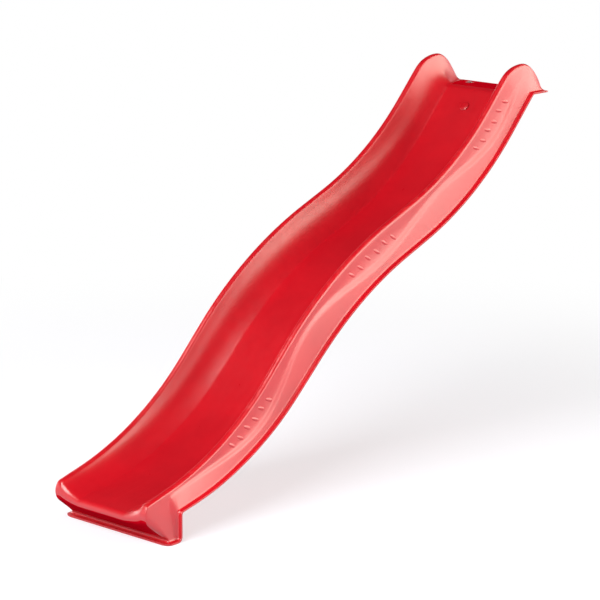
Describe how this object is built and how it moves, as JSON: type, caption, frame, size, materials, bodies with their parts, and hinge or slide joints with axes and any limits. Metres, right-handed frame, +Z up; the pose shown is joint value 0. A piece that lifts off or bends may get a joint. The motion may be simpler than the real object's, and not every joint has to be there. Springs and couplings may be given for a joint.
{
  "type": "wave slide",
  "caption": "Twin-skin moulded plastic wave slide with rolled side rims, skirts, a platform flange with eyelets, a hose water jet and a floor foot.",
  "frame": {"origin": "on the ground, at the middle of the foot's flat base", "axes": "+Y along the slide towards the platform, +Z up, +X across the slide"},
  "size_m": [0.473, 1.9237, 1.3055],
  "materials": {
    "chute": "blow-moulded polyethylene, satin gloss",
    "jet": "injection-moulded plastic, satin gloss",
    "eyelet": "rolled stainless steel",
    "fitting": "moulded nylon, matt",
    "seal": "moulded rubber"
  },
  "bodies": {
    "root": {"chute_skin": "chute", "under_skin": "chute", "eyelet_left": "eyelet", "eyelet_right": "eyelet", "jet": "jet", "jet_seal": "seal", "jet_spacer": "fitting", "lock_seal": "seal", "lock_nut": "fitting", "hose_nipple": "fitting", "nipple_seal": "seal"}
  },
  "joints": []
}
